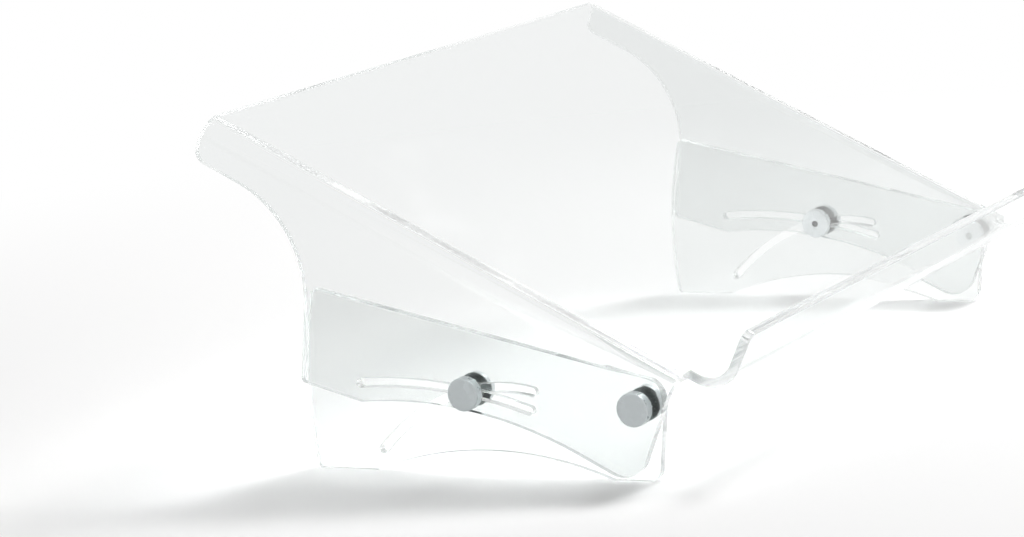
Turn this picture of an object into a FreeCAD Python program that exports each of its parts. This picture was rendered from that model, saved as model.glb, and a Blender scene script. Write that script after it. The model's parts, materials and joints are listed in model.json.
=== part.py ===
"""Clear sheet document holder that tilts on two side legs, in millimetres and degrees.

Finished frame: X across the width, +Y to the back, +Z up, origin under the middle of the whole box.
Bench frame: the same axes, with Y counted back from the legs' front feet.
Holder frame: the front pivot is the origin, Y runs up the slope and Z stands square on the panel.
"""
import FreeCAD
import Part
import math
import os

# Holder: one folded sheet
HOLDER_WIDTH = 500.0          # over the outer faces of the two side flaps
HOLDER_SHEET = 6.0            # thickness of the holder's sheet
SIDE_FOLD_RADIUS = 8.0        # inside radius of the two side folds
LIP_FOLD_RADIUS = 14.0        # inside radius of the fold that turns up into the lip
LIP_NOTCH = 8.0               # gap between each side fold and the end of the lip
PANEL_SLOPE = 27.0            # slope of the panel in the rest pose
PANEL_RISE = 26.6             # pivot axis to the panel's upper face
PANEL_BACK = 321.0            # pivot axis to the panel's back edge, up the slope
LIP_AHEAD = 40.5              # pivot axis to the lip's front face, down the slope
LIP_HEIGHT = 37.0             # lip above the panel's upper face
LIP_CORNER = 6.0              # radius of the lip's two top corners
EDGE_ROUND = 1.2              # rounding of the lip's long top edge

# Holder: outline of the side flaps, from the pivot axis
FLAP_FRONT_TOP = 14.0         # front edge ahead of the pivot, at the fold
FLAP_FRONT_FOOT = 17.0        # front edge ahead of the pivot, at its lower end
FLAP_FRONT_CORNER = 16.0      # radius of the lower front corner
FLAP_DEPTH = 44.5             # pivot axis down to the straight lower edge
FLAP_CURVE_START = 22.0       # where the lower edge starts to curve down
FLAP_KINK_BACK = 163.5        # kink at the end of the curved lower edge
FLAP_KINK_DEPTH = 85.3
FLAP_HOOK_BACK = 205.3        # lowest corner of the flap
FLAP_HOOK_DEPTH = 93.8
FLAP_HOOK_CORNER = 3.0
FLAP_HOOK_LEAN = 17.6         # lean of the flap's rear edge above the hook
FLAP_SWEEP_RADIUS = 71.0      # hollow curve from the rear edge to the tail
FLAP_TAIL_DEPTH = 27.0        # panel's upper face down to the tail's lower edge
FLAP_TAIL_CORNER = 8.0

# Legs: two flat plates inside the flaps
LEG_SHEET = 6.0
LEG_LENGTH = 231.0            # front foot to back foot, on the table
LEG_BACK_HEIGHT = 111.0
LEG_BACK_LEAN = 9.5           # the back edge's top stands this far ahead of its foot
LEG_BACK_SWELL = 5.5          # how far the back edge bulges beyond its chord
LEG_FRONT_HEIGHT = 58.0
LEG_FRONT_LEAN = 9.0          # the front edge's top stands this far ahead of its foot
LEG_FRONT_FOOT = 30.0         # flat length of the front foot
LEG_BACK_FOOT = 41.5          # flat length of the back foot
LEG_ARCH_HEIGHT = 14.5
LEG_TOE_RADIUS = 8.0          # lower front corner
LEG_SHOULDER_RADIUS = 12.0    # upper front corner, which must clear the side fold
LEG_CORNER_RADIUS = 3.0       # the other corners

# Pivot, clamps and the two slots on each side
PIVOT_BACK = 6.5              # pivot axis behind the front foot
PIVOT_HEIGHT = 45.5
CLAMP_BACK = 101.4            # clamp at rest, from the pivot in the holder frame
CLAMP_DEPTH = 45.0
SLOT_RADIUS = 296.0           # centre line of the holder's curved slot
SLOT_LEAN = 17.0              # fall of that slot to the back, at the resting clamp
SLOT_REAR_RUN = 73.5          # length of that slot behind the resting clamp
TILT_DOWN = 13.4              # the panel can lie this much flatter than at rest
TILT_UP = 8.0                 # and this much steeper
CLAMP_TURN_RATIO = 1.0        # clamp's turn about the slot's centre, per degree of tilt
SLOT_STATIONS = 13            # places where the leg slot's path is worked out

# Fasteners: one set on each pivot and each clamp
SCREW_DIAMETER = 5.0
SLOT_CLEARANCE = 0.25         # screw to slot, on each side
HOLE_CLEARANCE = 0.05         # screw to round hole, on the radius
DISC_DIAMETER = 20.0          # round cap outside and round screw head inside
DISC_ROUND = 0.8
CAP_HEIGHT = 6.0
CAP_BORE_DEPTH = 4.8
HEAD_HEIGHT = 4.0
SOCKET_WIDTH = 4.0            # across the flats of the hexagon socket
SOCKET_DEPTH = 2.5
SCREW_IN_CAP = 4.3            # length of screw inside the cap
SCREW_CHAMFER = 0.5
WASHER_SHEET = 0.5            # clear washers under both discs
SPACER_SHEET = 1.0            # clear washer between the flap and the leg
SPACER_DIAMETER = 14.0
FACE_GAP = 0.05               # running gap between faces that slide on each other

# Working values: overrun of every cut, and how near a place an edge must lie to be picked there
OVERRUN = 2.0
PICK_RANGE = 0.05

HALF_WIDTH = HOLDER_WIDTH / 2
SIDE_FOLD = SIDE_FOLD_RADIUS + HOLDER_SHEET
LIP_FOLD = LIP_FOLD_RADIUS + HOLDER_SHEET
PLATE_GAP = SPACER_SHEET + 2 * FACE_GAP
LEG_FACE = HALF_WIDTH - HOLDER_SHEET - PLATE_GAP
SCREW_RADIUS = SCREW_DIAMETER / 2
SIDES = {"left": -1, "right": 1}


def turned(point, centre, degrees):
    """Turn a (y, z) point about a centre, positive from +Y towards +Z."""
    angle = math.radians(degrees)
    y, z = point[0] - centre[0], point[1] - centre[1]
    return (centre[0] + y * math.cos(angle) - z * math.sin(angle),
            centre[1] + y * math.sin(angle) + z * math.cos(angle))


def polar(centre, radius, degrees):
    """A (y, z) point at an angle from +Y about a centre."""
    return turned((centre[0] + radius, centre[1]), centre, degrees)


def side_vector(point):
    """A (y, z) point as a vector in the plane x = 0."""
    return FreeCAD.Vector(0, point[0], point[1])


def line(start, end):
    return Part.LineSegment(side_vector(start), side_vector(end)).toShape()


def arc(start, middle, end):
    return Part.Arc(side_vector(start), side_vector(middle), side_vector(end)).toShape()


def across(edges, low_x, high_x):
    """A closed side outline carried across the width from low_x to high_x."""
    face = Part.Face(Part.Wire(edges))
    solid = face.extrude(FreeCAD.Vector(high_x - low_x, 0, 0))
    solid.translate(FreeCAD.Vector(low_x, 0, 0))
    return solid


def rounded(solid, corners):
    """Round the edges that run across the width at the given (y, z, radius) corners."""
    for y, z, radius in corners:
        here = [edge for edge in solid.Edges
                if math.hypot(edge.CenterOfMass.y - y, edge.CenterOfMass.z - z) < PICK_RANGE
                and edge.BoundBox.YLength + edge.BoundBox.ZLength < PICK_RANGE]
        solid = solid.makeFillet(radius, here)
    return solid


def rod(radius, low_x, high_x, point):
    """A round bar along X at a (y, z) point."""
    start = FreeCAD.Vector(low_x, point[0], point[1])
    return Part.makeCylinder(radius, high_x - low_x, start, FreeCAD.Vector(1, 0, 0))


def slot_outline(path, half_width):
    """Closed outline of a slot whose centre line is a list of (y, z) points."""
    sides = {1: [], -1: []}
    ends = []
    for index, here in enumerate(path):
        before, after = path[max(index - 1, 0)], path[min(index + 1, len(path) - 1)]
        run = (after[0] - before[0], after[1] - before[1])
        size = math.hypot(run[0], run[1])
        ahead = (run[0] / size * half_width, run[1] / size * half_width)
        for side in sides:
            sides[side].append((here[0] - side * ahead[1], here[1] + side * ahead[0]))
        ends.append(ahead)
    curves = []
    for side in sides:
        curve = Part.BSplineCurve()
        curve.interpolate([side_vector(point) for point in sides[side]])
        curves.append(curve.toShape())
    tail = (path[0][0] - ends[0][0], path[0][1] - ends[0][1])
    nose = (path[-1][0] + ends[-1][0], path[-1][1] + ends[-1][1])
    return [curves[0], arc(sides[1][-1], nose, sides[-1][-1]),
            curves[1], arc(sides[-1][0], tail, sides[1][0])]


# The holder slot is an arc about SLOT_CENTRE; the clamp turns about that point as the holder tilts
REST_CLAMP = (CLAMP_BACK, -CLAMP_DEPTH)
SLOT_CENTRE = polar(REST_CLAMP, SLOT_RADIUS, -90 - SLOT_LEAN)
PIVOT = (PIVOT_BACK, PIVOT_HEIGHT)


def on_bench(point):
    """Place a (y, z) point of the holder frame in the bench frame, at rest."""
    return turned((point[0] + PIVOT[0], point[1] + PIVOT[1]), PIVOT, PANEL_SLOPE)


def clamp_in_holder(degrees):
    """Centre of the clamp in the holder frame, at a tilt away from rest."""
    return turned(REST_CLAMP, SLOT_CENTRE, CLAMP_TURN_RATIO * degrees)


def clamp_on_bench(degrees):
    """Centre of the clamp in the bench frame, at a tilt away from rest: the leg slot's path."""
    return turned(on_bench(clamp_in_holder(degrees)), PIVOT, degrees)


def holder_channel():
    """Panel with both side folds, before the flaps are cut to their outline."""
    top = PANEL_RISE
    low = -FLAP_HOOK_DEPTH - OVERRUN
    fold = top - SIDE_FOLD
    flat = HALF_WIDTH - SIDE_FOLD
    edges = []

    def at(x, z):
        return FreeCAD.Vector(x, 0, z)

    for side in (-1, 1):
        centre = side * flat
        lean = math.sqrt(0.5)
        faces = ((side * HALF_WIDTH, SIDE_FOLD),
                 (side * (HALF_WIDTH - HOLDER_SHEET), SIDE_FOLD_RADIUS))
        for x, radius in faces:
            middle = at(centre + side * radius * lean, fold + radius * lean)
            edges.append(Part.LineSegment(at(x, low), at(x, fold)).toShape())
            edges.append(Part.Arc(at(x, fold), middle, at(centre, fold + radius)).toShape())
        edges.append(Part.LineSegment(at(faces[0][0], low), at(faces[1][0], low)).toShape())
    for height in (top, top - HOLDER_SHEET):
        edges.append(Part.LineSegment(at(-flat, height), at(flat, height)).toShape())
    face = Part.Face(Part.Wire(Part.__sortEdges__(edges)))
    start = -FLAP_FRONT_FOOT - OVERRUN
    solid = face.extrude(FreeCAD.Vector(0, PANEL_BACK + OVERRUN - start, 0))
    solid.translate(FreeCAD.Vector(0, start, 0))
    return solid


def flap_outline():
    """Side view of the panel and its flaps, carried across the whole width."""
    top = PANEL_RISE + OVERRUN
    tail = PANEL_RISE - FLAP_TAIL_DEPTH
    kink = (FLAP_KINK_BACK, -FLAP_KINK_DEPTH)
    hook = (FLAP_HOOK_BACK, -FLAP_HOOK_DEPTH)
    curve_start = (FLAP_CURVE_START, -FLAP_DEPTH)
    run = kink[0] - curve_start[0]
    fall = curve_start[1] - kink[1]
    curve_radius = (run * run + fall * fall) / (2 * fall)
    curve_centre = (curve_start[0], curve_start[1] - curve_radius)
    half_turn = math.degrees(math.asin(run / curve_radius)) / 2
    rear_up = 90 - FLAP_HOOK_LEAN
    # The sweep is tangent to the tail's lower edge and to the leaning rear edge
    sweep_height = tail - FLAP_SWEEP_RADIUS
    touch_height = sweep_height + FLAP_SWEEP_RADIUS * math.sin(math.radians(FLAP_HOOK_LEAN))
    touch_back = hook[0] + (touch_height - hook[1]) / math.tan(math.radians(rear_up))
    sweep_back = touch_back + FLAP_SWEEP_RADIUS * math.cos(math.radians(FLAP_HOOK_LEAN))
    sweep = (sweep_back, sweep_height)
    touch = polar(sweep, FLAP_SWEEP_RADIUS, 180 - FLAP_HOOK_LEAN)
    sweep_middle = polar(sweep, FLAP_SWEEP_RADIUS, 180 - (90 + FLAP_HOOK_LEAN) / 2)
    sweep_end = (sweep_back, tail)
    front_top = (-FLAP_FRONT_TOP, PANEL_RISE)
    front_foot = (-FLAP_FRONT_FOOT, -FLAP_DEPTH)
    edges = [
        line((front_top[0], top), front_top),
        line(front_top, front_foot),
        line(front_foot, curve_start),
        arc(curve_start, polar(curve_centre, curve_radius, 90 - half_turn), kink),
        line(kink, hook),
        line(hook, touch),
        arc(touch, sweep_middle, sweep_end),
        line(sweep_end, (PANEL_BACK, tail)),
        line((PANEL_BACK, tail), (PANEL_BACK, top)),
        line((PANEL_BACK, top), (front_top[0], top)),
    ]
    prism = across(edges, -HALF_WIDTH - OVERRUN, HALF_WIDTH + OVERRUN)
    return rounded(prism, [
        (front_foot[0], front_foot[1], FLAP_FRONT_CORNER),
        (hook[0], hook[1], FLAP_HOOK_CORNER),
        (PANEL_BACK, tail, FLAP_TAIL_CORNER),
    ])


def front_strip():
    """Front of the panel between the folds, turned up into the lip."""
    top = PANEL_RISE
    under = top - HOLDER_SHEET
    fold = LIP_FOLD - LIP_AHEAD
    lip_top = top + LIP_HEIGHT
    centre = (fold, top + LIP_FOLD_RADIUS)
    inner_end = (fold - LIP_FOLD_RADIUS, centre[1])
    outer_end = (fold - LIP_FOLD, centre[1])
    half_bend = 225
    edges = [
        line((0, top), (fold, top)),
        arc((fold, top), polar(centre, LIP_FOLD_RADIUS, half_bend), inner_end),
        line(inner_end, (inner_end[0], lip_top)),
        line((inner_end[0], lip_top), (outer_end[0], lip_top)),
        line((outer_end[0], lip_top), outer_end),
        arc(outer_end, polar(centre, LIP_FOLD, half_bend), (fold, under)),
        line((fold, under), (0, under)),
        line((0, under), (0, top)),
    ]
    reach = HALF_WIDTH - SIDE_FOLD - LIP_NOTCH
    strip = across(edges, -reach, reach)
    ends = [edge for edge in strip.Edges
            if edge.BoundBox.XLength + edge.BoundBox.ZLength < PICK_RANGE
            and edge.CenterOfMass.z > lip_top - PICK_RANGE]
    strip = strip.makeFillet(LIP_CORNER, ends)
    long_edges = [edge for edge in strip.Edges
                  if edge.BoundBox.XLength > HALF_WIDTH
                  and edge.CenterOfMass.z > lip_top - PICK_RANGE]
    return strip.makeFillet(EDGE_ROUND, long_edges)


def build_holder():
    """The folded sheet in the bench frame, at rest."""
    body = holder_channel().common(flap_outline())
    body = body.fuse(front_strip()).removeSplitter()
    slot_turn = math.degrees(SLOT_REAR_RUN / SLOT_RADIUS)
    front = clamp_in_holder(TILT_UP)
    rear = turned(REST_CLAMP, SLOT_CENTRE, -slot_turn)
    middle = turned(rear, SLOT_CENTRE, (slot_turn + CLAMP_TURN_RATIO * TILT_UP) / 2)
    half = SCREW_RADIUS + SLOT_CLEARANCE
    lines = {}
    for name, shift in (("over", half), ("under", -half)):
        lines[name] = [polar(SLOT_CENTRE, SLOT_RADIUS + shift,
                             math.degrees(math.atan2(p[1] - SLOT_CENTRE[1], p[0] - SLOT_CENTRE[0])))
                       for p in (rear, middle, front)]
    over, under = lines["over"], lines["under"]
    ahead = turned((front[0], front[1] + half), front,
                   math.degrees(math.atan2(front[1] - SLOT_CENTRE[1], front[0] - SLOT_CENTRE[0])))
    behind = turned((rear[0], rear[1] - half), rear,
                    math.degrees(math.atan2(rear[1] - SLOT_CENTRE[1], rear[0] - SLOT_CENTRE[0])))
    slot = across([arc(over[0], over[1], over[2]), arc(over[2], ahead, under[2]),
                   arc(under[2], under[1], under[0]), arc(under[0], behind, over[0])],
                  -HALF_WIDTH - OVERRUN, HALF_WIDTH + OVERRUN)
    hole = rod(SCREW_RADIUS + HOLE_CLEARANCE, -HALF_WIDTH - OVERRUN, HALF_WIDTH + OVERRUN, (0, 0))
    body = body.cut(slot).cut(hole)
    body.rotate(FreeCAD.Vector(0, 0, 0), FreeCAD.Vector(1, 0, 0), PANEL_SLOPE)
    body.translate(side_vector(PIVOT))
    return body


def build_leg(side):
    """One leg plate in the bench frame; side is -1 for the left leg and 1 for the right."""
    outer = side * LEG_FACE
    inner = side * (LEG_FACE - LEG_SHEET)
    low_x, high_x = min(outer, inner), max(outer, inner)
    toe = (0, 0)
    heel = (LEG_LENGTH, 0)
    back_top = (LEG_LENGTH - LEG_BACK_LEAN, LEG_BACK_HEIGHT)
    front_top = (-LEG_FRONT_LEAN, LEG_FRONT_HEIGHT)
    arch_front = (LEG_FRONT_FOOT, 0)
    arch_back = (LEG_LENGTH - LEG_BACK_FOOT, 0)
    arch_top = ((arch_front[0] + arch_back[0]) / 2, LEG_ARCH_HEIGHT)
    swell = ((heel[0] + back_top[0]) / 2 + LEG_BACK_SWELL, LEG_BACK_HEIGHT / 2)
    edges = [
        line(toe, arch_front),
        arc(arch_front, arch_top, arch_back),
        line(arch_back, heel),
        arc(heel, swell, back_top),
        line(back_top, front_top),
        line(front_top, toe),
    ]
    plate = rounded(across(edges, low_x, high_x), [
        (toe[0], toe[1], LEG_TOE_RADIUS),
        (heel[0], heel[1], LEG_CORNER_RADIUS),
        (back_top[0], back_top[1], LEG_CORNER_RADIUS),
        (front_top[0], front_top[1], LEG_SHOULDER_RADIUS),
        (arch_front[0], arch_front[1], LEG_CORNER_RADIUS),
        (arch_back[0], arch_back[1], LEG_CORNER_RADIUS),
    ])
    span = TILT_UP + TILT_DOWN
    stations = [clamp_on_bench(-TILT_DOWN + span * step / (SLOT_STATIONS - 1))
                for step in range(SLOT_STATIONS)]
    outline = slot_outline(stations, SCREW_RADIUS + SLOT_CLEARANCE)
    slot = across(outline, low_x - OVERRUN, high_x + OVERRUN)
    hole = rod(SCREW_RADIUS + HOLE_CLEARANCE, low_x - OVERRUN, high_x + OVERRUN, PIVOT)
    return plate.cut(slot).cut(hole)


def ring(outer_diameter, side, face, thickness, point, bore_radius):
    """A flat washer whose nearer face is at the distance face from the middle plane."""
    low_x, high_x = sorted((side * face, side * (face + thickness)))
    blank = rod(outer_diameter / 2, low_x, high_x, point)
    return blank.cut(rod(bore_radius, low_x - OVERRUN, high_x + OVERRUN, point))


def rim_edges(solid, x):
    """The outer round edges of a disc at a place across the width."""
    return [edge for edge in solid.Edges
            if abs(edge.BoundBox.XMin - x) + edge.BoundBox.XLength < PICK_RANGE
            and edge.BoundBox.YLength > SPACER_DIAMETER]


def build_cap(side, face, point):
    """Round cap outside the flap, with a blind bore for the screw."""
    low_x, high_x = sorted((side * face, side * (face + CAP_HEIGHT)))
    disc = rod(DISC_DIAMETER / 2, low_x, high_x, point)
    disc = disc.makeFillet(DISC_ROUND, rim_edges(disc, side * (face + CAP_HEIGHT)))
    bore_low, bore_high = sorted((side * (face - OVERRUN), side * (face + CAP_BORE_DEPTH)))
    return disc.cut(rod(SCREW_RADIUS + HOLE_CLEARANCE, bore_low, bore_high, point))


def build_screw(side, face, length, point):
    """Flat round head with a hexagon socket, and a plain shank; face is under the head."""
    low_x, high_x = sorted((side * face, side * (face - HEAD_HEIGHT)))
    head = rod(DISC_DIAMETER / 2, low_x, high_x, point)
    head = head.makeFillet(DISC_ROUND, rim_edges(head, side * (face - HEAD_HEIGHT)))
    corner = SOCKET_WIDTH / math.sqrt(3)
    points = [side_vector(polar(point, corner, 60 * step)) for step in range(6)]
    hexagon = Part.Face(Part.makePolygon(points + points[:1]))
    socket = hexagon.extrude(FreeCAD.Vector(side * (SOCKET_DEPTH + OVERRUN), 0, 0))
    socket.translate(FreeCAD.Vector(side * (face - HEAD_HEIGHT - OVERRUN), 0, 0))
    low_x, high_x = sorted((side * (face - HEAD_HEIGHT + SOCKET_DEPTH), side * (face + length)))
    shank = rod(SCREW_RADIUS, low_x, high_x, point)
    tip = side * (face + length)
    rim = [edge for edge in shank.Edges
           if abs(edge.BoundBox.XMin - tip) + edge.BoundBox.XLength < PICK_RANGE]
    shank = shank.makeChamfer(SCREW_CHAMFER, rim)
    return head.cut(socket).fuse(shank).removeSplitter()


def fastener_set(place, side_name, point):
    """Cap, screw and three washers on one axis, named after their place."""
    side = SIDES[side_name]
    name = side_name + "_" + place
    outer_washer = HALF_WIDTH + FACE_GAP
    cap = outer_washer + WASHER_SHEET
    spacer = HALF_WIDTH - HOLDER_SHEET - FACE_GAP - SPACER_SHEET
    inner_washer = LEG_FACE - LEG_SHEET - FACE_GAP - WASHER_SHEET
    head = inner_washer - FACE_GAP
    bore = SCREW_RADIUS + HOLE_CLEARANCE
    return {
        name + "_cap": build_cap(side, cap, point),
        name + "_outer_washer": ring(DISC_DIAMETER, side, outer_washer, WASHER_SHEET, point, bore),
        name + "_spacer": ring(SPACER_DIAMETER, side, spacer, SPACER_SHEET, point, bore),
        name + "_inner_washer": ring(DISC_DIAMETER, side, inner_washer, WASHER_SHEET, point, bore),
        name + "_screw": build_screw(side, head, cap + SCREW_IN_CAP - head, point),
    }


def build_all():
    """Every piece of the object in the bench frame, by name."""
    pieces = {"holder": build_holder()}
    for side_name, side in SIDES.items():
        pieces[side_name + "_leg"] = build_leg(side)
        pieces.update(fastener_set("pivot", side_name, PIVOT))
        pieces.update(fastener_set("clamp", side_name, clamp_on_bench(0)))
    return pieces


def main():
    """Build, centre the box on the origin and write one file for each piece."""
    os.makedirs("parts", exist_ok=True)
    pieces = build_all()
    box = FreeCAD.BoundBox()
    for shape in pieces.values():
        box.add(shape.optimalBoundingBox(False, False))
    shift = FreeCAD.Vector(0, -(box.YMin + box.YMax) / 2, 0)
    for name, shape in pieces.items():
        shape.translate(shift)
        shape.exportStep("parts/" + name + ".step")
        print(name, len(shape.Solids), round(shape.Volume, 1), shape.isValid())
    places = {"pivot": PIVOT, "slot centre": on_bench(SLOT_CENTRE), "clamp": clamp_on_bench(0)}
    for name, point in places.items():
        print(name, "y", round(point[0] + shift.y, 4), "z", round(point[1], 4))
    print("shift", round(shift.y, 4))
    print("box", [round(v, 4) for v in (box.XLength, box.YLength, box.ZLength, box.ZMin)])


main()
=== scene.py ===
"""Looks of the clear document holder: folded sheet, side legs, fasteners, studio and camera.

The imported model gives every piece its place. This script softens the edges of the clear
sheets, dresses each piece in its finish, and sets up a pale studio.
"""
from __future__ import annotations

import json
import logging
import math
from dataclasses import dataclass, field, replace
from enum import Enum
from typing import Any, ClassVar

import bmesh
import bpy
from mathutils import Matrix, Vector
from mathutils.bvhtree import BVHTree

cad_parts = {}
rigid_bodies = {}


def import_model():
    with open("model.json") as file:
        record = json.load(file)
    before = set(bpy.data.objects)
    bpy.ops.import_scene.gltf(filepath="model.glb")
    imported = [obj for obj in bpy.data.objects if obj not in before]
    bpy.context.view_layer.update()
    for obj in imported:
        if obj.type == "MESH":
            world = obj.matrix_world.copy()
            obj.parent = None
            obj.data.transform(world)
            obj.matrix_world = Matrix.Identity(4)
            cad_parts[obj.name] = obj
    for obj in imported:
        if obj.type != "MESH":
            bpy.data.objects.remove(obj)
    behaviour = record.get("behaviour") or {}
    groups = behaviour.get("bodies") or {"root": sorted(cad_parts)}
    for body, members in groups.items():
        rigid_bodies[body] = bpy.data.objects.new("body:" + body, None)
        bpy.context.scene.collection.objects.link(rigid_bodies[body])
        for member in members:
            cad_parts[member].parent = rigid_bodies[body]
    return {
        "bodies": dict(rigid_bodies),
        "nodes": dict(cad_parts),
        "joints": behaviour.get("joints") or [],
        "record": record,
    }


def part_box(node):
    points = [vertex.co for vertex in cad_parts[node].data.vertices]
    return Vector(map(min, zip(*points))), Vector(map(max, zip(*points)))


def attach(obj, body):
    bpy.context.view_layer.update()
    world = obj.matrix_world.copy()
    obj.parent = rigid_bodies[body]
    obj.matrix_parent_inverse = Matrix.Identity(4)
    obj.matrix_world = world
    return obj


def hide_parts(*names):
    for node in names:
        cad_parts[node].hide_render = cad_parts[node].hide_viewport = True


LOG = logging.getLogger("document_holder")
MM = 0.001
SHEET_BOUNCES = 128    # light runs far inside the clear sheets before it leaves by an edge
SHADOW_BOUNCES = 32

Pair = tuple[float, float]
Triple = tuple[float, float, float]


class Side(Enum):
    """The two sides of the holder, by the sign of their place across the width."""

    LEFT = -1
    RIGHT = 1

    @property
    def word(self) -> str:
        """The side's name as the nodes spell it."""
        return self.name.lower()


class Place(Enum):
    """The two places on each side that carry a fastener set."""

    PIVOT = "pivot"
    CLAMP = "clamp"


def open_socket(sockets: Any, key: str | int) -> bpy.types.NodeSocket:
    """Find a socket by number, or by name among those that the node's settings leave in use.

    Args:
        sockets: A node's inputs or outputs.
        key: Number or name.

    Returns:
        The socket.
    """
    if isinstance(key, int):
        return sockets[key]
    return next(socket for socket in sockets if socket.name == key and socket.enabled)


class Shade:
    """A number that comes out of a shader node, with arithmetic that adds Math nodes."""

    def __init__(self, graph: "Graph", socket: bpy.types.NodeSocket) -> None:
        """Wrap a socket.

        Args:
            graph: The graph that the socket's node stands in.
            socket: The output socket.
        """
        self.graph = graph
        self.socket = socket

    def maths(self, operation: str, first: Any, second: Any = None) -> "Shade":
        """Add one Math node.

        Args:
            operation: The node's operation.
            first: Its first value or Shade.
            second: Its second value or Shade, if it takes one.

        Returns:
            The node's result.
        """
        values = {0: first} if second is None else {0: first, 1: second}
        return self.graph.node("ShaderNodeMath", {"operation": operation}, values)["Value"]

    def __add__(self, other: Any) -> "Shade":
        """Sum."""
        return self.maths("ADD", self, other)

    def __radd__(self, other: Any) -> "Shade":
        """Sum, with the number first."""
        return self.maths("ADD", other, self)

    def __sub__(self, other: Any) -> "Shade":
        """Difference."""
        return self.maths("SUBTRACT", self, other)

    def __rsub__(self, other: Any) -> "Shade":
        """Difference, with the number first."""
        return self.maths("SUBTRACT", other, self)

    def __mul__(self, other: Any) -> "Shade":
        """Product."""
        return self.maths("MULTIPLY", self, other)

    def __rmul__(self, other: Any) -> "Shade":
        """Product, with the number first."""
        return self.maths("MULTIPLY", other, self)

    def sine(self) -> "Shade":
        """Sine, in radians."""
        return self.maths("SINE", self)

    def root(self) -> "Shade":
        """Square root."""
        return self.maths("SQRT", self)

    def fade(self, start: float, end: float) -> "Shade":
        """Run smoothly from zero at start to one at end.

        Args:
            start: Value at which the run begins.
            end: Value at which it ends.

        Returns:
            The smooth run.
        """
        return self.graph.node(
            "ShaderNodeMapRange", {"interpolation_type": "SMOOTHSTEP"},
            {"Value": self, "From Min": start, "From Max": end, "To Min": 0.0, "To Max": 1.0},
        )["Result"]


class Outputs:
    """The outputs of one node, read by name or number as Shades."""

    def __init__(self, graph: "Graph", node: bpy.types.Node) -> None:
        """Keep the node.

        Args:
            graph: The graph that the node stands in.
            node: The node.
        """
        self.graph = graph
        self.item = node

    def __getitem__(self, key: str | int) -> Shade:
        """One output."""
        return Shade(self.graph, open_socket(self.item.outputs, key))


class Graph:
    """The node tree of a material or of the world."""

    def __init__(self, owner: bpy.types.Material | bpy.types.World) -> None:
        """Empty the owner's tree and keep it.

        Args:
            owner: The material or world.
        """
        owner.use_nodes = True
        self.tree = owner.node_tree
        self.tree.nodes.clear()

    def node(self, kind: str, settings: dict[str, Any] | None = None,
             values: dict[str | int, Any] | None = None) -> Outputs:
        """Add a node: its settings are set first, then its sockets.

        Args:
            kind: The node's type.
            settings: Properties of the node.
            values: Socket names or numbers with numbers, tuples or Shades.

        Returns:
            The node's outputs.
        """
        made = self.tree.nodes.new(kind)
        for name, value in (settings or {}).items():
            setattr(made, name, value)
        for key, value in (values or {}).items():
            socket = open_socket(made.inputs, key)
            if isinstance(value, Shade):
                self.tree.links.new(value.socket, socket)
            else:
                socket.default_value = value
        return Outputs(self, made)

    def object_axes(self) -> tuple[Shade, Shade, Shade]:
        """The three Object coordinates, in metres."""
        where = self.node("ShaderNodeTexCoord")["Object"]
        parts = self.node("ShaderNodeSeparateXYZ", values={0: where})
        return parts["X"], parts["Y"], parts["Z"]

    def grain(self, scale: float, detail: float, stretch: Triple = (1.0, 1.0, 1.0)) -> Shade:
        """Noise on Object coordinates.

        Args:
            scale: Cells for each metre.
            detail: Octaves of the noise.
            stretch: Factors on the three coordinates before the noise.

        Returns:
            The noise, from 0 to 1.
        """
        where = self.node("ShaderNodeTexCoord")["Object"]
        mapped = self.node("ShaderNodeMapping", {"vector_type": "POINT"},
                           {"Vector": where, "Scale": stretch})["Vector"]
        return self.node("ShaderNodeTexNoise", {"noise_dimensions": "3D"},
                         {"Vector": mapped, "Scale": scale, "Detail": detail})["Fac"]

    def relief(self, height: Shade, strength: float, depth: float) -> Shade:
        """Raise and sink a surface slightly.

        Args:
            height: The pattern of the relief.
            strength: How much of it shows.
            depth: Its depth, in metres.

        Returns:
            The turned normal.
        """
        return self.node("ShaderNodeBump", values={"Strength": strength, "Distance": depth, "Height": height})["Normal"]

    def blend(self, factor: Shade, first: Any, second: Any) -> Shade:
        """Mix two colours.

        Args:
            factor: Zero for the first, one for the second.
            first: Colour with alpha, or a Shade.
            second: Colour with alpha, or a Shade.

        Returns:
            The mixed colour.
        """
        return self.node("ShaderNodeMix", {"data_type": "RGBA", "blend_type": "MIX"},
                         {"Factor": factor, "A": first, "B": second})["Result"]

    def thin_shadow(self, shader: Shade, colour: Triple, part: float | Shade) -> Shade:
        """Let part of the lamps' light pass straight through a clear piece, so that its shadow is pale.

        Args:
            shader: The clear piece's shader.
            colour: Tint of the light that passes.
            part: How much of it passes.

        Returns:
            The mixed shader.
        """
        through = self.node("ShaderNodeBsdfTransparent", values={"Color": (*colour, 1.0)})["BSDF"]
        share = self.node("ShaderNodeLightPath")["Is Shadow Ray"] * part
        return self.node("ShaderNodeMixShader", values={0: share, 1: shader, 2: through})["Shader"]

    def showing_background(self) -> Shade:
        """One for rays that show the background: from the camera, off metal or through a clear sheet.

        Returns:
            One for such a ray, and zero for any other.
        """
        path = self.node("ShaderNodeLightPath")
        shown = path["Is Camera Ray"] + path["Is Glossy Ray"] + path["Is Transmission Ray"]
        return shown.maths("MINIMUM", shown, 1.0)

    def finish(self, shader: Shade, kind: str = "ShaderNodeOutputMaterial") -> None:
        """Lead the last shader to the output.

        Args:
            shader: The last shader.
            kind: The output node's type.
        """
        self.node(kind, values={"Surface": shader})


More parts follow.
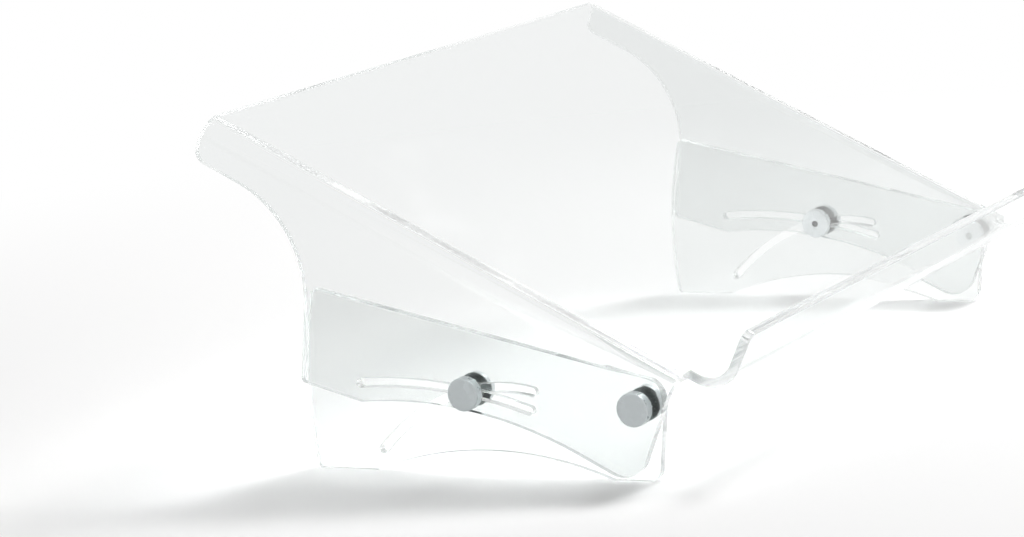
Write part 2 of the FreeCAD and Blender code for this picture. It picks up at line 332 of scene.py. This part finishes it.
@dataclass(frozen=True)
class ClearSheet:
    """Polished clear acrylic, with faint handling haze and hairline scratches."""

    name: str
    tint: Triple = (0.86, 0.875, 0.872)
    refraction: float = 1.49
    polish: float = 0.012
    haze: float = 0.05
    smear_cells: float = 18.0
    smear_fade: Pair = (0.52, 0.78)
    smear_part: float = 0.5
    hair_cells: float = 420.0
    hair_stretch: Triple = (1.0, 0.05, 1.0)
    hair_fade: Pair = (0.66, 0.8)
    shadow_tint: Triple = (0.97, 0.98, 0.98)
    shadow_pass: float = 0.8
    slant_blend: float = 0.35
    slant_loss: float = 0.55

    def material(self) -> bpy.types.Material:
        """Build the material.

        Returns:
            The finished material.
        """
        made = bpy.data.materials.new(self.name)
        graph = Graph(made)
        smears = graph.grain(self.smear_cells, 3.0).fade(*self.smear_fade)
        hairs = graph.grain(self.hair_cells, 2.0, self.hair_stretch).fade(*self.hair_fade)
        sheet = graph.node("ShaderNodeBsdfPrincipled", values={
            "Base Color": (*self.tint, 1.0),
            "Roughness": self.polish + smears * self.haze * self.smear_part + hairs * self.haze,
            "IOR": self.refraction,
            "Transmission Weight": 1.0,
        })["BSDF"]
        slant = graph.node("ShaderNodeLayerWeight", values={"Blend": self.slant_blend})["Facing"]
        graph.finish(graph.thin_shadow(sheet, self.shadow_tint, self.shadow_pass - slant * self.slant_loss))
        return made


@dataclass(frozen=True)
class CutEdge:
    """Polished sawn edge of the clear sheet, which scatters a little of the light that runs inside it."""

    name: str
    tint: Triple = (0.9, 0.92, 0.915)
    refraction: float = 1.49
    clear_part: float = 0.94
    satin: float = 0.05
    mark_cells: float = 700.0
    mark_strength: float = 0.04
    mark_depth: float = 0.02 * MM
    mark_satin: float = 0.06
    shadow_tint: Triple = (0.95, 0.96, 0.96)
    shadow_pass: float = 0.6

    def material(self) -> bpy.types.Material:
        """Build the material.

        Returns:
            The finished material.
        """
        made = bpy.data.materials.new(self.name)
        graph = Graph(made)
        saw_marks = graph.grain(self.mark_cells, 3.0)
        edge = graph.node("ShaderNodeBsdfPrincipled", values={
            "Base Color": (*self.tint, 1.0),
            "Roughness": self.satin + saw_marks * self.mark_satin,
            "IOR": self.refraction,
            "Transmission Weight": self.clear_part,
            "Normal": graph.relief(saw_marks, self.mark_strength, self.mark_depth),
        })["BSDF"]
        graph.finish(graph.thin_shadow(edge, self.shadow_tint, self.shadow_pass))
        return made


@dataclass(frozen=True)
class SoftWasher:
    """Clear soft plastic of the thin washers."""

    name: str
    tint: Triple = (0.94, 0.965, 0.96)
    refraction: float = 1.46
    satin: float = 0.16
    cloud_cells: float = 900.0
    cloud_strength: float = 0.15
    cloud_depth: float = 0.05 * MM
    cloud_satin: float = 0.18
    shadow_tint: Triple = (0.9, 0.92, 0.92)
    shadow_pass: float = 0.7

    def material(self) -> bpy.types.Material:
        """Build the material.

        Returns:
            The finished material.
        """
        made = bpy.data.materials.new(self.name)
        graph = Graph(made)
        cloud = graph.grain(self.cloud_cells, 3.0)
        soft = graph.node("ShaderNodeBsdfPrincipled", values={
            "Base Color": (*self.tint, 1.0),
            "Roughness": self.satin + cloud * self.cloud_satin,
            "IOR": self.refraction,
            "Transmission Weight": 1.0,
            "Normal": graph.relief(cloud, self.cloud_strength, self.cloud_depth),
        })["BSDF"]
        graph.finish(graph.thin_shadow(soft, self.shadow_tint, self.shadow_pass))
        return made


@dataclass(frozen=True)
class TurnedSteel:
    """Satin steel turned on a lathe: fine rings about the disc's own axis, and on a screw a painted shade that darkens
    the metal about its axis, in the socket.
    """

    name: str
    axis_y: float
    axis_z: float
    colour: Triple = (0.5, 0.535, 0.545)
    satin: float = 0.27
    ring_pitch: float = 0.22 * MM
    ring_satin: float = 0.03
    wobble_cells: float = 260.0
    wobble_turn: float = 9.0
    wear_cells: float = 140.0
    wear_fade: Pair = (0.45, 0.8)
    wear_part: float = 0.5
    wear_lift: float = 1.12
    wear_satin: float = 0.08
    relief_strength: float = 0.22
    relief_depth: float = 0.02 * MM
    # Painted shade in a screw's socket: within this radius of the axis the metal fades to a dark colour; zero leaves it
    # out.
    painted_shade_reach: float = 0.0
    painted_shade_core: float = 0.85
    painted_shade_colour: Triple = (0.07, 0.08, 0.08)

    def material(self) -> bpy.types.Material:
        """Build the material.

        Returns:
            The finished material.
        """
        made = bpy.data.materials.new(self.name)
        graph = Graph(made)
        _, back, up = graph.object_axes()
        aside, above = back - self.axis_y, up - self.axis_z
        radius = (aside * aside + above * above).root()
        wobble = graph.grain(self.wobble_cells, 2.0)
        rings = (radius * (2 * math.pi / self.ring_pitch) + wobble * self.wobble_turn).sine()
        wear = graph.grain(self.wear_cells, 4.0).fade(*self.wear_fade)
        worn = (*(part * self.wear_lift for part in self.colour), 1.0)
        metal = graph.blend(wear * self.wear_part, (*self.colour, 1.0), worn)
        # Paint the socket's shade: dark within the reach, shank included, fading back to the metal from the core
        # fraction of the reach outwards.
        if self.painted_shade_reach:
            unshaded_share = radius.fade(self.painted_shade_reach * self.painted_shade_core, self.painted_shade_reach)
            metal = graph.blend(unshaded_share, (*self.painted_shade_colour, 1.0), metal)
        steel = graph.node("ShaderNodeBsdfPrincipled", values={
            "Base Color": metal,
            "Metallic": 1.0,
            "Roughness": self.satin + rings * self.ring_satin + wear * self.wear_satin,
            "Normal": graph.relief(rings + wobble, self.relief_strength, self.relief_depth),
        })["BSDF"]
        graph.finish(steel)
        return made


def dress(piece: bpy.types.Object, material: bpy.types.Material) -> None:
    """Put one material in every slot of a piece.

    Args:
        piece: The piece.
        material: The material.
    """
    if not piece.material_slots:
        piece.data.materials.append(material)
    for slot in piece.material_slots:
        slot.material = material


@dataclass
class ClearPlate:
    """A clear sheet piece cut from its node, with its sawn edges eased as by polishing."""

    node: str
    body: str
    slot: str
    finish: ClearSheet
    edge_finish: CutEdge
    sheet: float = 6.0 * MM
    sheet_margin: float = 0.6 * MM
    broad_area: float = 0.004
    ease: float = 0.45 * MM
    ease_steps: int = 2
    merge_within: float = 0.001 * MM
    flat_within: float = math.radians(0.4)
    sharp_from: float = math.radians(35)

    def build(self, frame: dict[str, Any]) -> bpy.types.Object:
        """Copy the node's mesh, clean it, ease its edges and let the copy stand for the node.

        Args:
            frame: The loaded frame.

        Returns:
            The piece.
        """
        shell = bmesh.new()
        shell.from_mesh(frame["nodes"][self.node].data)
        bmesh.ops.remove_doubles(shell, verts=shell.verts, dist=self.merge_within)
        bmesh.ops.dissolve_limit(shell, angle_limit=self.flat_within, verts=shell.verts, edges=shell.edges)
        sharp = [edge for edge in shell.edges
                 if edge.is_manifold and edge.calc_face_angle(0.0) > self.sharp_from]
        bmesh.ops.bevel(shell, geom=sharp, affect="EDGES", offset=self.ease, offset_type="OFFSET",
                        segments=self.ease_steps, profile=0.5, clamp_overlap=True, material=-1)
        tree = BVHTree.FromBMesh(shell)
        for face in shell.faces:
            face.smooth = True
            face.material_index = int(self.is_cut(face, tree))
        mesh = bpy.data.meshes.new(self.node + "_sheet")
        shell.to_mesh(mesh)
        shell.free()
        piece = bpy.data.objects.new(self.node + "_sheet", mesh)
        bpy.context.scene.collection.objects.link(piece)
        even = piece.modifiers.new("even_shading", "WEIGHTED_NORMAL")
        even.mode = "FACE_AREA"
        even.weight = 100
        even.keep_sharp = False
        for made in (self.finish.material(), self.edge_finish.material()):
            mesh.materials.append(made)
        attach(piece, self.body)
        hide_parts(self.node)
        cut = sum(face.material_index for face in mesh.polygons)
        LOG.info("%s: %d faces, %d of them cut edges, on body %s", piece.name, len(mesh.polygons), cut, self.body)
        return piece

    def is_cut(self, face: bmesh.types.BMFace, tree: BVHTree) -> bool:
        """Tell a sawn or drilled edge face from a face of the sheet's two broad sides.

        Args:
            face: The face.
            tree: Search tree of the whole piece.

        Returns:
            True where the sheet is not one thickness deep behind the face.
        """
        if face.calc_area() > self.broad_area:
            return False
        inward = -face.normal
        depth = tree.ray_cast(face.calc_center_median() + inward * self.merge_within, inward)[3]
        return depth is None or abs(depth - self.sheet) > self.sheet_margin


@dataclass
class FastenerSet:
    """Cap, socket screw and three clear washers on one axis."""

    side: Side
    place: Place
    # Radius about the screw's axis within which shade is painted dark into the socket.
    painted_shade_reach: float = 2.45 * MM
    screw_colour: Triple = (0.66, 0.69, 0.7)
    washers: ClassVar[tuple[str, ...]] = ("outer_washer", "spacer", "inner_washer")

    @property
    def stem(self) -> str:
        """The start of every node name in this set."""
        return f"{self.side.word}_{self.place.value}"

    def dress_all(self, frame: dict[str, Any], soft: bpy.types.Material) -> None:
        """Dress the set's nodes.

        Args:
            frame: The loaded frame.
            soft: The washers' material.
        """
        for metal in ("cap", "screw"):
            name = f"{self.stem}_{metal}"
            low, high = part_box(name)
            middle = (low + high) / 2
            steel = TurnedSteel(f"turned_steel_{name}", middle.y, middle.z)
            if metal == "screw":
                steel = replace(steel, colour=self.screw_colour, painted_shade_reach=self.painted_shade_reach)
            dress(frame["nodes"][name], steel.material())
            LOG.info("%s: turned steel about y %.4f z %.4f", name, middle.y, middle.z)
        for washer in self.washers:
            name = f"{self.stem}_{washer}"
            dress(frame["nodes"][name], soft)
            LOG.info("%s: clear soft plastic", name)


@dataclass
class Studio:
    """Pale floor, even surroundings and two soft lamps."""

    floor_size: float = 30.0
    floor_drop: float = 0.01 * MM
    floor_colour: Triple = (0.97, 0.968, 0.966)
    floor_gloss: float = 0.06
    gloss_roughness: float = 0.06
    white_from: Pair = (0.5, 1.2)
    ambient: float = 0.38
    lamps: list[tuple[str, Triple, float, float]] = field(default_factory=lambda: [
        ("key_lamp", (1.5, -0.7, 2.25), 0.8, 62.0),
        ("fill_lamp", (-1.2, 2.2, 2.6), 2.4, 9.0),
    ])

    def build(self) -> None:
        """Make the floor, the surroundings and the lamps."""
        self.make_floor()
        self.make_surroundings()
        for name, place, size, power in self.lamps:
            self.make_lamp(name, Vector(place), size, power)

    def make_floor(self) -> None:
        """A flat pale floor just under the feet, which runs out to white, directly and through the sheets alike."""
        shell = bmesh.new()
        bmesh.ops.create_grid(shell, x_segments=1, y_segments=1, size=self.floor_size / 2,
                              matrix=Matrix.Translation((0, 0, -self.floor_drop)))
        mesh = bpy.data.meshes.new("studio_floor")
        shell.to_mesh(mesh)
        shell.free()
        floor = bpy.data.objects.new("studio_floor", mesh)
        bpy.context.scene.collection.objects.link(floor)
        made = bpy.data.materials.new("pale_floor")
        graph = Graph(made)
        across, back, _ = graph.object_axes()
        reach = (across * across + back * back).root()
        shown = graph.showing_background()
        board = graph.node("ShaderNodeBsdfDiffuse", values={"Color": (*self.floor_colour, 1.0)})["BSDF"]
        gloss = graph.node("ShaderNodeBsdfGlossy", values={"Roughness": self.gloss_roughness})["BSDF"]
        glazed = graph.node("ShaderNodeMixShader", values={
            0: shown * self.floor_gloss, 1: board, 2: gloss})["Shader"]
        white = graph.node("ShaderNodeEmission", values={"Strength": 1.0})["Emission"]
        share = shown * reach.fade(*self.white_from)
        graph.finish(graph.node("ShaderNodeMixShader", values={0: share, 1: glazed, 2: white})["Shader"])
        dress(floor, made)

    def make_surroundings(self) -> None:
        """White wherever the background is seen, also in metal and through clear sheets, and even light elsewhere."""
        world = bpy.data.worlds.new("pale_room")
        bpy.context.scene.world = world
        graph = Graph(world)
        shown = graph.showing_background()
        level = shown + (1.0 - shown) * self.ambient
        sky = graph.node("ShaderNodeBackground", values={"Color": (1.0, 1.0, 1.0, 1.0), "Strength": level})
        graph.finish(sky["Background"], "ShaderNodeOutputWorld")

    def make_lamp(self, name: str, place: Vector, size: float, power: float) -> None:
        """Add one square area lamp that looks at the middle of the floor.

        Args:
            name: The lamp's name.
            place: Where it hangs, in metres.
            size: Its edge, in metres.
            power: Its power, in watts.
        """
        light = bpy.data.lights.new(name, "AREA")
        light.size = size
        light.energy = power
        lamp = bpy.data.objects.new(name, light)
        lamp.matrix_world = Matrix.Translation(place) @ place.to_track_quat("Z", "Y").to_matrix().to_4x4()
        bpy.context.scene.collection.objects.link(lamp)


@dataclass(frozen=True)
class ProductCamera:
    """The photograph's viewing angle, on a frame of 1024 by 537."""

    place: Triple = (-1.9459, -1.03454, 0.4928)
    azimuth: float = -60.432
    elevation: float = 10.953
    roll: float = -5.375
    focal: float = 3500.08
    centre: Pair = (568.34, 286.34)
    picture: tuple[int, int] = (1024, 537)
    sensor: float = 36.0
    sight: float = 200.0

    def build(self) -> None:
        """Place the camera and make it the scene's own."""
        wide, high = self.picture
        around, over, lean = (math.radians(a) for a in (self.azimuth, self.elevation, self.roll))
        back = Vector((math.sin(around) * math.cos(over), -math.cos(around) * math.cos(over), math.sin(over)))
        right = (-back).cross(Vector((0, 0, 1))).normalized()
        above = right.cross(-back)
        right, above = (math.cos(lean) * right + math.sin(lean) * above,
                        math.cos(lean) * above - math.sin(lean) * right)
        lens = bpy.data.cameras.new("product_camera")
        lens.sensor_fit = "HORIZONTAL"
        lens.sensor_width = self.sensor
        lens.lens = self.focal * self.sensor / wide
        lens.shift_x = (wide / 2 - self.centre[0]) / wide
        lens.shift_y = (self.centre[1] - high / 2) / wide
        lens.clip_end = self.sight
        camera = bpy.data.objects.new("product_camera", lens)
        turned = Matrix((right, above, back)).transposed().to_4x4()
        camera.matrix_world = Matrix.Translation(Vector(self.place)) @ turned
        bpy.context.scene.collection.objects.link(camera)
        bpy.context.scene.camera = camera


def main() -> None:
    """Build the sheets, the legs, the fasteners and the studio."""
    logging.basicConfig(level=logging.INFO, format="%(name)s: %(message)s")
    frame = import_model()
    bpy.context.view_layer.update()
    ProductCamera().build()
    ClearPlate("holder", "holder", "clear_sheet", ClearSheet("clear_folded_sheet"),
               CutEdge("folded_sheet_cut_edge")).build(frame)
    for side in Side:
        ClearPlate(f"{side.word}_leg", "legs", "clear_leg_sheet", ClearSheet(f"clear_{side.word}_leg_sheet"),
                   CutEdge(f"{side.word}_leg_cut_edge")).build(frame)
    soft = SoftWasher("soft_clear_washer").material()
    for side in Side:
        for place in Place:
            FastenerSet(side, place).dress_all(frame, soft)
    Studio().build()
    bpy.context.scene.view_settings.view_transform = "Standard"
    rays = bpy.context.scene.cycles
    rays.max_bounces = rays.transmission_bounces = rays.glossy_bounces = SHEET_BOUNCES
    rays.transparent_max_bounces = SHADOW_BOUNCES
    bpy.context.view_layer.update()


if __name__ == "__main__":
    main()
